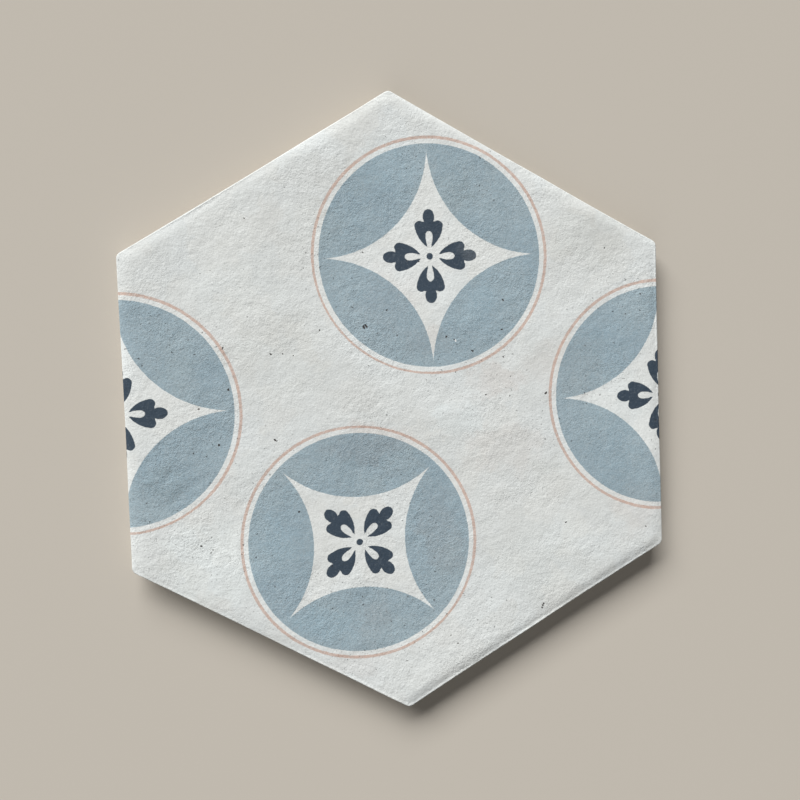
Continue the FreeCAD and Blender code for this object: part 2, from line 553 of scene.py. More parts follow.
def foot_rows(shape, joint_top):
    """Rows of the joint face, the set-back foot and its rounding into the sole, which no relief reaches."""
    slab, joint_run, top, _ = joint_top
    radius = shape.sole_radius
    foot_run = shape.corner_radius - shape.foot_setback
    slope = shape.foot_setback / shape.foot_height
    places = [(joint_run, top + (shape.foot_height - top) * share) for share in (0.25, 0.6, 1.0)]
    places.append((foot_run + slope * radius, radius))
    for degrees in (30.0, 60.0, 90.0):
        turn = math.radians(degrees)
        places.append((foot_run - radius * (1.0 - math.cos(turn)), radius * (1.0 - math.sin(turn))))
    return [(slab, run, height, 0.0) for run, height in places]


def edge_rows(shape):
    """The whole edge from the flat face down to the sole, in two parts that share a row: the one under the
    glaze and the bare one."""
    rows = cushion_rows(shape)
    rows += land_rows(shape, rows[-1])
    rows += foot_rows(shape, rows[-1])
    upper = [row for row in rows if row[2] > shape.foot_height + PARTING_HEIGHT]
    return upper, rows[len(upper) - 1:]


def mesh_object(name, vertices, faces, weights=None):
    """A new object from vertices and faces, with the share of relief of each vertex as an attribute."""
    mesh = bpy.data.meshes.new(name)
    mesh.from_pydata([tuple(vertex) for vertex in vertices], [], faces)
    if weights is not None:
        mesh.attributes.new("relief", "FLOAT", "POINT").data.foreach_set("value", weights)
    return placed(name, mesh)


def lattice(rings, pitch):
    """Points of a triangular lattice in whole rings round the origin, by their steps both ways."""
    steps = range(-rings, rings + 1)
    across = np.array((COS30, 0.5)) * pitch
    along = np.array((0.0, 1.0)) * pitch
    return {(i, j): across * i + along * j for i in steps for j in steps if abs(i + j) <= rings}


def face_lattice(shape, apothem):
    """The flat wearing face: a hexagon of small equal triangles."""
    points = lattice(shape.face_rings, apothem / COS30 / shape.face_rings)
    number_of = {steps: index for index, steps in enumerate(points)}
    faces = []
    for (i, j), corner in number_of.items():
        right = number_of.get((i + 1, j))
        up = number_of.get((i, j + 1))
        left = number_of.get((i - 1, j + 1))
        if right is not None and up is not None:
            faces.append((corner, right, up))
        if up is not None and left is not None:
            faces.append((corner, up, left))
    return np.array(list(points.values())), faces


def rows_mesh(shape, rows):
    """Vertices, faces and relief shares of the band that the rows of an edge section span."""
    vertices = []
    faces = []
    weights = []
    for inner, run, height, relief in rows:
        points = fired(outline(inner, run, shape.face_rings, shape.corner_steps), shape)
        if vertices:
            upper, lower = newest_rows(len(vertices), len(points))
            faces += ring_faces(upper, lower)
        vertices += [(x, y, height) for x, y in points]
        weights += [relief] * len(points)
    return vertices, faces, weights


def pressed_face(shape):
    """Wearing face, cushioned edge, land, arris and the glazed top of the joint face."""
    rows, _ = edge_rows(shape)
    points, faces = face_lattice(shape, rows[0][0])
    vertices = [(x, y, shape.thickness) for x, y in fired(points, shape)]
    weights = [1.0] * len(vertices)
    band_vertices, band_faces, band_weights = rows_mesh(shape, rows)
    faces += [tuple(len(vertices) + corner for corner in face) for face in band_faces]
    return mesh_object("face", vertices + band_vertices, faces, weights + band_weights)


def pocket_spots(shape, back):
    """Centres of the pockets, in whole rings without the six corner ones, and the pitch between them."""
    rim = shape.width / 2.0 - shape.foot_setback - back.rim_width
    pitch = (rim + back.rib_width * TAN30) / (back.rings * COS30 + TAN30)
    at_corner = [0, back.rings, back.rings]
    spots = [
        spot for (i, j), spot in lattice(back.rings, pitch).items()
        if sorted((abs(i), abs(j), abs(i + j))) != at_corner
    ]
    return spots, pitch


def pocket_section(back):
    """Rows of a pocket from its rounded lip to its floor: run of the outline and height."""
    slope = math.tan(back.draft)
    lip, fillet = back.lip_radius, back.fillet_radius
    wall_top = 0.45 * lip
    wall_foot = back.depth - 0.5 * fillet
    run = back.corner_radius
    return [
        (run + lip, 0.0),
        (run + 0.35 * lip, 0.12 * lip),
        (run - wall_top * slope, wall_top),
        (run - wall_foot * slope, wall_foot),
        (run - back.depth * slope - 0.3 * fillet, back.depth - 0.1 * fillet),
        (run - back.depth * slope - fillet, back.depth),
    ]


def pocket_outline(back, pitch, run):
    """Outline of a pocket round the origin, whose flats face the next pockets."""
    apothem = (pitch - back.rib_width) / 2.0 - back.corner_radius
    points = outline(apothem, run, 1, back.corner_steps)
    turn = math.radians(30.0)
    return points @ np.array(((math.cos(turn), math.sin(turn)), (-math.sin(turn), math.cos(turn))))


def pocket_cup(back, pitch):
    """One pocket round the origin."""
    vertices = []
    faces = []
    for run, height in pocket_section(back):
        points = pocket_outline(back, pitch, run)
        if vertices:
            before, after = newest_rows(len(vertices), len(points))
            faces += ring_faces(after, before)
        vertices += [(x, y, height) for x, y in points]
    middle = len(vertices)
    rim, _ = newest_rows(middle, len(points))
    vertices.append((0.0, 0.0, back.depth))
    faces += [(middle, rim[(i + 1) % len(rim)], rim[i]) for i in range(len(rim))]
    return mesh_object("pocket", vertices, faces)


def geometry_tree(name, inputs):
    """A new Geometry Nodes tree with its named inputs. Returns the tree and a wire for each input."""
    group = bpy.data.node_groups.new(name, "GeometryNodeTree")
    group.interface.new_socket("Geometry", in_out="OUTPUT", socket_type="NodeSocketGeometry")
    for socket_name, kind in inputs.items():
        group.interface.new_socket(socket_name, in_out="INPUT", socket_type="NodeSocket" + kind)
    tree = Tree(group)
    first = tree.node("NodeGroupInput")
    source = first.socket.node
    return tree, {socket_name: Wire(tree, source.outputs[socket_name]) for socket_name in inputs}


def close_tree(tree, geometry, material):
    """Ends a Geometry Nodes tree with real geometry that has its material."""
    real = tree.node("GeometryNodeRealizeInstances", {}, {"Geometry": geometry})
    finished = tree.node("GeometryNodeSetMaterial", {}, {"Geometry": real, "Material": material})
    tree.node("NodeGroupOutput", {}, {"Geometry": finished})


def made_real(source, tree, values):
    """Runs a Geometry Nodes tree on an object with these inputs, and replaces its mesh by the result."""
    modifier = source.modifiers.new("making", "NODES")
    modifier.node_group = tree.tree
    for item in tree.tree.interface.items_tree:
        if item.in_out == "INPUT" and item.name in values:
            modifier[item.identifier] = values[item.name]
    bpy.context.view_layer.update()
    evaluated = source.evaluated_get(bpy.context.evaluated_depsgraph_get())
    mesh = bpy.data.meshes.new_from_object(evaluated)
    source.modifiers.remove(modifier)
    source.data = mesh
    return source


def honeycomb(back, spots, pitch, material):
    """All the pockets: one cup, set on each spot by Geometry Nodes."""
    cup = pocket_cup(back, pitch)
    inputs = {"Geometry": "Geometry", "Pocket": "Object", "Material": "Material"}
    tree, given = geometry_tree("honeycomb back", inputs)
    source = {"Object": given["Pocket"], "As Instance": True}
    single = tree.node("GeometryNodeObjectInfo", {}, source, "Geometry")
    cups = tree.node("GeometryNodeInstanceOnPoints", {}, {"Points": given["Geometry"], "Instance": single})
    close_tree(tree, cups, given["Material"])
    pockets = mesh_object("pockets", [(x, y, 0.0) for x, y in spots], [])
    made_real(pockets, tree, {"Pocket": cup, "Material": material})
    bpy.data.objects.remove(cup)
    return pockets


def bare_sides(shape):
    """Unglazed lower walls: the rest of the joint face, the foot and the rounded edge of the sole."""
    _, rows = edge_rows(shape)
    return mesh_object("sides", *rows_mesh(shape, rows))


def sole(shape, back, spots, pitch):
    """The rim and ribs that the tile lies on: a flat sheet with a hole for each pocket."""
    _, rows = edge_rows(shape)
    inner, run, _, _ = rows[-1]
    border = fired(outline(inner, run, shape.face_rings, shape.corner_steps), shape)
    mouth = pocket_outline(back, pitch, pocket_section(back)[0][0])
    loops = [border] + [mouth + spot for spot in spots]
    points = []
    edges = []
    owner = []
    for number_of_loop, loop in enumerate(loops):
        start = len(points)
        points += [Vector((x / MM, y / MM)) for x, y in loop]
        edges += [(start + i, start + (i + 1) % len(loop)) for i in range(len(loop))]
        owner += [number_of_loop] * len(loop)
    corners, _, triangles, originals, _, _ = delaunay_2d_cdt(points, edges, [], 1, 1e-6)
    belongs = [owner[found[0]] for found in originals]
    faces = [
        tuple(reversed(face)) for face in triangles
        if belongs[face[0]] == 0 or len({belongs[corner] for corner in face}) > 1
    ]
    return mesh_object("sole", [(x * MM, y * MM, 0.0) for x, y in corners], faces)


# Soft ridges and hollows that can be told apart on the face:
# middle X and Y, length, width, turn in degrees and height, in millimetres.
DENTS = (
    (22.0, -4.0, 11.0, 4.0, 18.0, 0.17),
    (18.0, -16.0, 9.0, 4.0, 10.0, -0.08),
    (37.0, 5.0, 7.0, 4.0, 20.0, -0.06),
    (-93.0, -25.3, 3.6, 1.4, 28.0, -0.36),
    (-100.6, -27.4, 3.0, 1.8, 25.0, 0.24),
    (-96.8, -29.6, 3.4, 1.5, 30.0, 0.22),
    (-89.4, -33.6, 6.0, 2.4, 35.0, -0.3),
    (-22.0, -99.0, 9.0, 3.0, 20.0, 0.06),
    (-12.0, -91.0, 9.0, 3.5, 20.0, -0.07),
    (-18.0, -72.0, 6.0, 3.0, 15.0, 0.04),
    (-78.0, -65.0, 9.0, 5.0, 25.0, 0.07),
    (90.0, 38.0, 9.0, 7.0, 60.0, -0.07),
)


def vertex_places(mesh):
    """The places of a mesh's vertices, one in each row."""
    places = np.empty(len(mesh.vertices) * 3)
    mesh.vertices.foreach_get("co", places)
    return places.reshape(-1, 3)


def dents_height(places):
    """Height of the single ridges and hollows."""
    height = np.zeros(len(places))
    for x, y, long, wide, degrees, rise in DENTS:
        turn = math.radians(degrees)
        shift = places[:, :2] / MM - (x, y)
        along = shift @ (math.cos(turn), math.sin(turn)) / long
        across = shift @ (-math.sin(turn), math.cos(turn)) / wide
        height += rise * MM * np.exp(-along ** 2 - across ** 2)
    return height


def sides_height(places, shape):
    """How much higher the shoulder and the land of the side next to each place stand."""
    reach = np.stack([places[:, :2] @ side_directions(side)[0] for side in range(SIDES)], axis=1)
    inside = shape.width / 2.0 - reach.max(axis=1)
    nearness = np.exp((reach - reach.max(axis=1)[:, None]) / CORNER_BLEND)
    nearness /= nearness.sum(axis=1)[:, None]
    shoulder = np.clip((shape.land_width + shape.shoulder_run - inside) / shape.shoulder_run, 0.0, 1.0)
    shoulder = shoulder ** 2 * (3.0 - 2.0 * shoulder)
    land = np.clip(1.0 - inside / shape.land_width / 2.0, 0.0, 1.0) ** 2
    lift = nearness @ shape.shoulder_lifts * shoulder + nearness @ shape.land_lifts * land
    return lift * np.clip((places[:, 2] - LIFT_START) / LIFT_GROWTH, 0.0, 1.0)


def dented(made, shape):
    """Adds the single ridges and hollows to the wearing face, and what sets its six sides apart."""
    mesh = made.data
    weights = np.empty(len(mesh.vertices))
    mesh.attributes["relief"].data.foreach_get("value", weights)
    places = vertex_places(mesh)
    places[:, 2] += weights * dents_height(places)
    places[:, 2] += sides_height(places, shape)
    mesh.vertices.foreach_set("co", places.ravel())
    mesh.update()


def uneven(made, relief, material):
    """Lets the wearing face swell and sink softly, as far as the relief attribute allows."""
    tree, given = geometry_tree("face relief", {
        "Geometry": "Geometry", "Height": "Float", "Size": "Float", "Roughness": "Float",
        "Seed": "Float", "Material": "Material",
    })
    where = tree.node("GeometryNodeInputPosition") / given["Size"]
    swell = tree.noise(where, 1.0, 3.6, given["Roughness"], given["Seed"], about_zero=True)
    share = tree.node("GeometryNodeInputNamedAttribute", {"data_type": "FLOAT"}, {"Name": "relief"})
    lift = tree.node("ShaderNodeCombineXYZ", {}, {"Z": swell * share * given["Height"]})
    moved = tree.node("GeometryNodeSetPosition", {}, {"Geometry": given["Geometry"], "Offset": lift})
    close_tree(tree, moved, given["Material"])
    return made_real(made, tree, {
        "Height": relief.swell_height, "Size": relief.swell_size, "Roughness": relief.swell_roughness,
        "Seed": relief.seed, "Material": material,
    })


def joined(name, parts, materials):
    """One closed mesh from parts whose rims lie on each other, each with the number of its material."""
    shell = bmesh.new()
    for part, slot in parts:
        part.data.polygons.foreach_set("material_index", [slot] * len(part.data.polygons))
        shell.from_mesh(part.data)
        bpy.data.objects.remove(part)
    bmesh.ops.remove_doubles(shell, verts=shell.verts, dist=MERGE_DISTANCE)
    open_edges = [edge for edge in shell.edges if not edge.is_manifold]
    if open_edges:
        raise RuntimeError(f"{name} has {len(open_edges)} open edges")
    mesh = bpy.data.meshes.new(name)
    shell.to_mesh(mesh)
    shell.free()
    for material in materials:
        mesh.materials.append(material)
    mesh.shade_smooth()
    mesh.set_sharp_from_angle(angle=SHARP_ANGLE)
    return placed(name, mesh)


# The UV map, in shares of its width: the margin, the height of the face, the width and the middle of the
# back, and the steps across and up from one wall's strip to the next.
UV_MARGIN = 0.01
UV_FACE = 0.85
UV_BACK = 0.23
UV_BACK_MIDDLE = (0.87, 0.845)
UV_STRIP_STEPS = (0.44, 0.04)

# A face of the mesh belongs to the wearing face where it looks up by more than the first, and to the back
# where it looks down by more than the second or lies within that share of the width from the middle.
LOOKS_UP = 0.35
LOOKS_DOWN = -0.6
BACK_REACH = 0.46


def unfold(made, shape):
    """Lays out the UV map: the face at the upper left, the back beside it, the six walls in strips below."""
    mesh = made.data
    half_width, half_height = shape.width / 2.0, shape.width / COS30 / 2.0
    face_scale = UV_FACE / half_height / 2.0
    back_scale = UV_BACK / shape.width
    layer = mesh.uv_layers.new(name="OFBake")
    corners = np.empty(len(mesh.loops), dtype=int)
    mesh.loops.foreach_get("vertex_index", corners)
    places = vertex_places(mesh)[corners]
    spread = np.zeros((len(corners), 2))
    for polygon in mesh.polygons:
        loops = slice(polygon.loop_start, polygon.loop_start + polygon.loop_total)
        x, y, z = places[loops].T
        up = polygon.normal.z
        if up > LOOKS_UP:
            u = UV_MARGIN + (x + half_width) * face_scale
            v = 1.0 - UV_MARGIN - (half_height - y) * face_scale
        elif up < LOOKS_DOWN or polygon.center.xy.length < BACK_REACH * shape.width:
            u = UV_BACK_MIDDLE[0] + x * back_scale
            v = UV_BACK_MIDDLE[1] + y * back_scale
        else:
            side = round(math.degrees(math.atan2(polygon.center.y, polygon.center.x)) / 60.0) % SIDES
            _, forward = side_directions(side)
            shift = x * forward[0] + y * forward[1] + half_width * TAN30
            u = UV_MARGIN + UV_STRIP_STEPS[0] * (side % 2) + shift * face_scale
            v = UV_MARGIN + UV_STRIP_STEPS[1] * (side // 2) + z * face_scale
        spread[loops, 0] = u
        spread[loops, 1] = v
    layer.data.foreach_set("uv", spread.ravel())


def in_millimetres(tree):
    """Object coordinates in millimetres."""
    return tree.node("ShaderNodeTexCoord", {}, {}, "Object") * (1.0 / MM, 1.0 / MM, 1.0 / MM)


def new_material(name):
    """A material with an empty node tree."""
    material = bpy.data.materials.new(name)
    material.use_nodes = True
    return material, Tree(material.node_tree)


def close_material(tree, base, roughness, height):
    """Ends a material: a plain shader with this colour, roughness and, as bump, height in millimetres."""
    bump = tree.node("ShaderNodeBump", {}, {"Strength": 1.0, "Distance": MM, "Height": height}, "Normal")
    shader = tree.node(
        "ShaderNodeBsdfPrincipled", {},
        {"Base Color": base, "Roughness": roughness, "Normal": bump, "Specular IOR Level": SPECULAR_LEVEL},
    )
    tree.node("ShaderNodeOutputMaterial", {}, {"Surface": shader})


def nearest_motif(tree, here, layout):
    """The place as seen from the nearest motif's centre and in its directions, and the distance from the
    centre of its rim."""
    motifs = (
        (layout.top_centre, layout.top_rim, 1.0, 0.0),
        (layout.left_centre, (0.0, 0.0), layout.side_size, 0.0),
        (layout.right_centre, (0.0, 0.0), layout.side_size, 0.0),
        (layout.low_centre, layout.low_rim, 1.0, layout.low_turn),
    )
    local = None
    for (x, y), (rim_x, rim_y), size, turn in motifs:
        seen = (here - (x / MM, y / MM, 0.0)) / (size, size, 1.0)
        distance = seen.away_from((rim_x / MM, rim_y / MM, 0.0))
        if turn:
            inputs = {"Vector": seen, "Angle": -turn}
            seen = tree.node("ShaderNodeVectorRotate", {"rotation_type": "Z_AXIS"}, inputs)
        if local is None:
            local, nearest = seen, distance
        else:
            local = distance.below(nearest).pick(local, seen)
            nearest = distance.least(nearest)
    return local, nearest


def petal_edge(tree, along, aside, flower):
    """Distance from a petal's edge in millimetres, below 0 inside it. aside is never below 0."""
    spot = tree.node("ShaderNodeCombineXYZ", {}, {"X": along, "Y": aside})
    leaf_x, leaf_y = flower.leaf_centre
    lobe_x, lobe_y = flower.lobe_centre
    # The petal's outline: an arc along its side, a side lobe, the neck between the lobes and a round head.
    leaf = spot.away_from((leaf_x / MM, leaf_y / MM, 0.0)) - flower.leaf_radius / MM
    leaf = leaf.most(along - flower.leaf_end / MM)
    lobe = spot.away_from((lobe_x / MM, lobe_y / MM, 0.0)) - flower.lobe_radius / MM
    neck_start = (flower.leaf_end - flower.neck_overlap) / MM
    neck = (along - flower.neck_end / MM).most(neck_start - along).most(aside - flower.neck_width / MM)
    head = spot - (flower.head_centre / MM, 0.0, 0.0)
    head = head / (flower.head_length / MM, flower.head_width / MM, 1.0)
    head = (head.size() - 1.0) * (flower.head_width / MM)
    petal = leaf.least(lobe).least(neck).least(head)
    # The slot that is left free in its middle, with a stem towards the motif's centre.
    past = along - flower.slot_centre / MM
    stretched = past.most(0.0) / (flower.slot_outer / MM) + past.least(0.0) / (flower.slot_inner / MM)
    slot = tree.node("ShaderNodeCombineXYZ", {}, {"X": stretched, "Y": aside / (flower.slot_width / MM)})
    slot = (slot.size() - 1.0) * (flower.slot_width / MM)
    stem = (aside - flower.slot_stem / MM).most(past)
    return petal.most(-slot.least(stem))


# The larger iron specks: X, Y and radius in millimetres.
SPECKS = (
    (-13.4, 31.9, 0.48), (-13.2, 31.2, 0.4), (-12.5, 32.5, 0.48), (-12.2, 31.8, 0.4),
    (-51.1, 22.1, 0.38), (-50.9, -12.6, 0.36), (-50.2, -12.9, 0.25),
    (-82.0, -54.2, 0.42), (30.8, 20.6, 0.5), (23.4, 25.6, 0.26), (20.4, 26.6, 0.42), (-68.4, 8.4, 0.42),
    (35.9, 2.5, 0.34), (61.0, 2.2, 0.34), (102.4, -55.6, 0.3), (57.9, -86.2, 0.36), (57.4, -87.0, 0.36),
    (57.0, -87.8, 0.34), (-31.3, 30.9, 0.32), (44.4, 41.0, 0.42), (43.3, 28.8, 0.42), (-59.4, 76.6, 0.26),
    (-73.2, -13.8, 0.48), (68.0, -52.2, 0.28), (-3.8, 38.4, 0.4), (-42.4, -42.4, 0.26), (43.8, 17.6, 0.26),
    (-46.2, 22.0, 0.22), (-42.2, 21.0, 0.22), (20.8, -100.8, 0.28), (46.0, 1.6, 0.28), (87.8, 61.6, 0.22),
    (-12.5, 61.9, 0.26), (-80.5, 1.0, 0.36), (-81.1, 23.0, 0.28), (-70.0, 25.1, 0.28),
    (-83.5, -16.7, 0.34), (-75.7, -13.7, 0.24), (5.3, 58.2, 0.2), (10.2, 57.8, 0.24),
)

# How a speck fades out: from 1 to 0 between these distances from its edge, in millimetres.
SPECK_FADE = (-0.06, 0.1, 1.0, 0.0)

# The one place where the ink has flaked off the glaze, in the same form as a speck.
INK_CHIP = (24.0, 25.1, 0.34)

# Blotches in the glaze and the ink: X, Y, half length along X, half width along Y and strength.
PINK_BLOTS = (
    (-14.0, -16.0, 19.0, 8.0, 0.9), (15.0, -54.0, 9.0, 22.0, 0.8), (42.0, 7.0, 12.0, 6.0, 0.8),
    (44.0, -20.0, 18.0, 10.0, 0.5), (-3.0, 43.0, 12.0, 14.0, 0.5), (12.0, 27.0, 9.0, 7.0, 0.6),
    (98.0, -48.0, 12.0, 12.0, 0.6), (-13.0, -90.0, 7.0, 12.0, 0.75), (68.0, 12.0, 18.0, 12.0, 0.4),
    (-24.0, -108.0, 15.0, 7.0, 0.4),
)
DULL_BLOTS = (
    (80.0, 67.0, 19.0, 13.0, 0.75), (-94.0, -28.0, 9.0, 9.0, 0.8), (-88.0, 18.0, 10.0, 9.0, 0.7),
    (27.0, 90.0, 9.0, 14.0, 0.6), (-50.0, 22.0, 24.0, 22.0, 0.5), (64.0, -28.0, 7.0, 5.0, 0.8),
    (-30.0, 72.0, 16.0, 14.0, 0.4), (-58.0, -26.0, 16.0, 10.0, 0.3), (-62.0, 50.0, 22.0, 15.0, 0.5),
)
PALE_BLOTS = (
    (-34.0, -88.0, 13.0, 7.0, 1.2), (-18.0, -94.0, 17.0, 6.0, 0.5),
    (-52.0, -55.0, 8.0, 14.0, 0.7), (34.0, 38.0, 8.0, 10.0, 0.7),
    (92.0, -2.0, 16.0, 20.0, 0.35), (-2.0, 96.0, 11.0, 12.0, 0.6), (24.0, -8.0, 12.0, 8.0, 0.6),
    (60.0, -66.0, 26.0, 18.0, 0.4), (-76.0, -62.0, 24.0, 19.0, 0.75), (4.0, -110.0, 16.0, 9.0, 0.15),
)
# Each kind of blotch with its tint, by which full strength multiplies the linear light.
TINTED_BLOTS = (
    (PINK_BLOTS, (0.955, 0.915, 0.9)),
    (DULL_BLOTS, (0.947, 0.946, 0.936)),
    (PALE_BLOTS, (1.045, 1.065, 1.07)),
)
# Where the fine relief is calmer and where it is rougher than elsewhere, in the form of a blotch.
CALM = (
    (95.0, 78.0, 20.0, 20.0, 0.3), (84.0, -16.0, 36.0, 46.0, 0.27), (20.0, 30.0, 26.0, 24.0, 0.2),
    (-38.0, -38.0, 30.0, 28.0, 0.17), (38.0, -38.0, 22.0, 22.0, 0.12), (-26.0, 45.0, 20.0, 16.0, 0.1),
)
ROUGH = (
    (8.0, -112.0, 34.0, 20.0, 0.32), (-94.0, -58.0, 26.0, 26.0, 0.17),
)
# Where the slate ink is worn, where pinholes crowd, and where the rings are printed thinner, in that form.
WORN_INK = (
    (31.6, 60.2, 4.2, 3.4, 0.06), (27.6, 62.4, 2.4, 2.4, 0.03),
)
PITTED = (
    (26.5, 68.0, 9.0, 4.5, 1.0), (-13.0, -78.6, 6.0, 7.0, 1.0),
)
THIN_RINGS = (
    (-16.0, 24.0, 40.0, 40.0, 0.3), (14.0, -88.0, 24.0, 22.0, 0.16), (-92.0, -43.0, 26.0, 15.0, 0.24),
    (76.0, -36.0, 18.0, 20.0, 0.1),
)


def patchy(tree, base, where, grain, seed):
    """The colour with irregular patches, each a little lighter or darker, warmer or cooler than the next."""
    spot = where + (seed * 11.0, seed * 7.0, 0.0)
    dice = tree.node(
        "ShaderNodeTexVoronoi", {"voronoi_dimensions": "2D", "feature": "SMOOTH_F1"},
        {"Vector": spot, "Scale": MM / grain.patch_size, "Smoothness": 0.45}, "Color",
    )
    light = (dice.part("X") - 0.5) * grain.patch_contrast
    warmth = (dice.part("Y") - 0.5) * grain.patch_warmth
    shift = tree.node("ShaderNodeCombineXYZ", {}, {"X": light + warmth, "Y": light, "Z": light - warmth})
    return base * (shift + (1.0, 1.0, 1.0))


def blots_cover(where, blots):
    """How strong the blotches are at a place. Each is full near its middle and gone past its edge."""
    cover = None
    for x, y, long, wide, strength in blots:
        reach = ((where - (x, y, 0.0)) / (long, wide, 1.0)).size()
        blot = reach.spread(0.55, 1.2, strength, 0.0)
        cover = blot if cover is None else cover.most(blot)
    return cover


def speckle(tree, here, spacing, chance, low, high, seed):
    """Small round specks: at most one in each cell of that spacing, with that chance and a radius between
    two sizes."""
    cells = tree.node(
        "ShaderNodeTexVoronoi", {"voronoi_dimensions": "2D"},
        {"Vector": here + (seed * 17.3, seed * 9.1, 0.0), "Scale": 1.0 / spacing}, "Distance",
    )
    dice = Wire(tree, cells.socket.node.outputs["Color"])
    radius = dice.part("X").spread(1.0 - chance, 1.0, low, high, smooth=False)
    there = 1.0 - dice.part("X").below(1.0 - chance)
    return (cells * spacing - radius).spread(-0.08, 0.08, 1.0, 0.0) * there


def rim_distance(where):
    """Distance inside the outline in millimetres."""
    reach = None
    for side in range(SIDES // 2):
        (x, y), _ = side_directions(side)
        across = abs(where.part("X") * float(x) + where.part("Y") * float(y))
        reach = across if reach is None else reach.most(across)
    return HIGHEST.x / MM - reach


class Surface:
    """What the colours and heights of the wearing face share: its places in millimetres and its noises,
    each with a seed of its own."""

    def __init__(self, tree, grain, seed):
        self.tree = tree
        self.seed = seed
        self.where = in_millimetres(tree)
        self.flat = self.where * (1.0, 1.0, 0.0)
        middle = (0.5, 0.5, 0.5)
        self.fray = tree.noise(self.flat, grain.fray_scale, 2.0, 0.6, seed, "Color") - middle
        stray = tree.noise(self.flat, grain.drift_scale, 4.0, 0.65, seed + 17.0, "Color") - middle
        self.drift = self.flat + stray * (grain.drift_reach / MM, grain.drift_reach / MM, 0.0)
        self.grains = tree.noise(self.where, grain.grain_scale, 3.0, 0.65, seed + 2.0)
        self.grit = tree.noise(self.where, grain.grit_scale, 0.0, 0.5, seed + 50.0) - 0.5


def ink_covers(surface, layout, flower):
    """How much blue, pink and slate ink lies at a place, and how far the nearest motif's middle is."""
    tree, flat, grains = surface.tree, surface.flat, surface.grains
    # The noise strays from its middle by about a quarter.
    wander = 4.0 * layout.edge_wander / MM
    local, distance = nearest_motif(tree, flat + surface.fray * (wander, wander, 0.0), layout)
    # A motif has four equal quarters and each petal two equal halves, so one half petal is drawn for all.
    folded = abs(local)
    along = folded.part("X").most(folded.part("Y"))
    aside = folded.part("X").least(folded.part("Y"))
    # The blue ink spreads a little into the last few millimetres of the star's four tips.
    star = layout.star_radius / MM
    tip_start, tip_end = star - layout.tip_start / MM, star - layout.tip_end / MM
    closed_tip = local.size().spread(tip_start, tip_end, 0.0, layout.tip_spread / MM)
    disc_edge = distance - layout.disc_radius / MM
    blue_edge = disc_edge.most(folded.away_from((star, star, 0.0)) - star - closed_tip)
    half_ring = (1.0 - blots_cover(flat, THIN_RINGS)) * (layout.ring_width / 2.0 / MM)
    ring_edge = abs(distance - layout.ring_radius / MM) - half_ring
    navy_edge = petal_edge(tree, along, aside, flower).least(local.size() - flower.dot_radius / MM)
    # Ink ends softly at its edge and covers a little less between the grains.
    soft = layout.edge_softness / MM
    blue = blue_edge.spread(-soft, soft, 1.0, 0.0) * grains.spread(0.3, 0.62, 0.86, 1.0)
    pink = ring_edge.spread(-soft, soft, 1.0, 0.0) * grains.spread(0.25, 0.6, 0.6, 1.0)
    navy = navy_edge.spread(-soft, soft, 1.0, 0.0) * grains.spread(0.2, 0.5, 0.9, 1.0)
    return blue, pink, navy * (1.0 - blots_cover(flat, WORN_INK)), distance


def fine_relief(surface, relief):
    """Heights of the grain and of the grit in millimetres, calmer in some places than in others."""
    tree, flat, seed = surface.tree, surface.flat, surface.seed
    crumple = tree.noise(flat, 0.045, 1.0, 0.5, seed + 60.0).spread(0.35, 0.65, 0.74, 1.2)
    crumple = crumple * (1.0 - blots_cover(surface.drift, CALM))
    crumple = crumple * (1.0 + blots_cover(surface.drift, ROUGH))
    scale = MM / relief.grain_size
    grain = tree.noise(surface.where, scale, 3.7, relief.grain_roughness, seed + 20.0, about_zero=True)
    grit = surface.grit * (relief.grit_height / MM)
    return grain * (relief.grain_height / MM) * crumple, grit * crumple


def printed_colour(surface, covers, distance, height, finish, layout, grain):
    """Colour of glaze and inks, with clouds, patches, grain and blotches."""
    tree, seed = surface.tree, surface.seed
    blue, pink, navy = covers
    clouds = tree.noise(surface.flat, grain.cloud_scale, 4.0, 0.6, seed + 5.0)
    ground = clouds.spread(0.34, 0.62).pick(rgba(finish.ground_shade), rgba(finish.ground))
    # The glaze changes its tone under the ring.
    ring = layout.ring_radius / MM
    ground = ground * distance.spread(ring - 0.2, ring + 0.2, finish.disc_gain, 1.0)
    ink = clouds.spread(0.36, 0.66).pick(rgba(finish.blue), rgba(finish.blue_shade))
    tone = pink.pick(blue.pick(ground, ink), rgba(finish.pink))
    tone = patchy(tree, tone, surface.drift, grain, seed)
    grit = surface.grit * (grain.grit_contrast + blue * grain.ink_contrast)
    # Partly wear and partly painted shade: the blue ink is paler on the grain's crests and darker in its
    # hollows.
    wear_and_shade = height * blue * grain.ink_wear_and_shade
    tone = tone * (1.0 + (surface.grains - 0.5) * grain.grain_contrast + grit + wear_and_shade)
    for blots, tint in TINTED_BLOTS:
        tone = blots_cover(surface.drift, blots).pick(tone, tone * tint)
    return navy.pick(tone, rgba(finish.navy))


def edge_light_and_shade(surface, finish):
    """Factor for the glaze's colour: a painted highlight along the rim, and painted shade on steep places.
    """
    # Painted highlight: the glaze is paler along the rim.
    pale = rim_distance(surface.flat).spread(0.9, 2.2, finish.rim_highlight, 0.0)
    # Painted shade: the glaze is duller where its normal slopes steeply, on the arris and the joint face.
    level = surface.tree.node("ShaderNodeTexCoord", {}, {}, "Normal").part("Z")
    return (1.0 + pale) * level.spread(0.3, 0.85, finish.steep_shade, 1.0)


